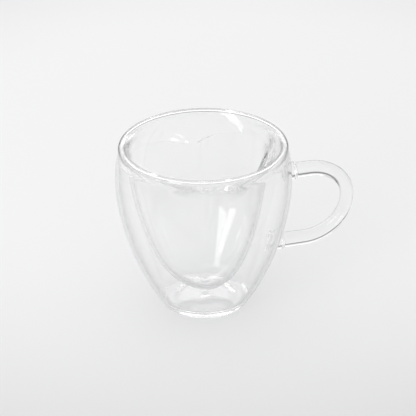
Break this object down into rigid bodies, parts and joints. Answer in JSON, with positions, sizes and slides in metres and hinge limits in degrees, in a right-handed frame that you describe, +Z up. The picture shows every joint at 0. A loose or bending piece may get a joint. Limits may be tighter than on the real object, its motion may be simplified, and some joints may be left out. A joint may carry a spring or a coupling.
{
  "type": "double-wall glass mug",
  "caption": "Clear double-wall glass mug with a heart-shaped inner cup, a rolled round lip, a flat foot ring and a solid rod ear handle, for hot and cold drinks.",
  "frame": {"origin": "on the table plane, in the middle of the box round the mug and its handle; the mug's own axis is 17.5 mm to the -X side", "axes": "+Z up through the mouth, +X towards the handle, +Y towards the cleft of the heart-shaped inner cup"},
  "size_m": [0.125, 0.09, 0.089],
  "materials": {
    "clear_glass": "clear polished"
  },
  "bodies": {
    "root": {"outer_shell": "clear_glass", "inner_liner": "clear_glass", "vent_seal": "clear_glass", "handle": "clear_glass", "handle_upper_pad": "clear_glass", "handle_lower_pad": "clear_glass"}
  },
  "joints": []
}
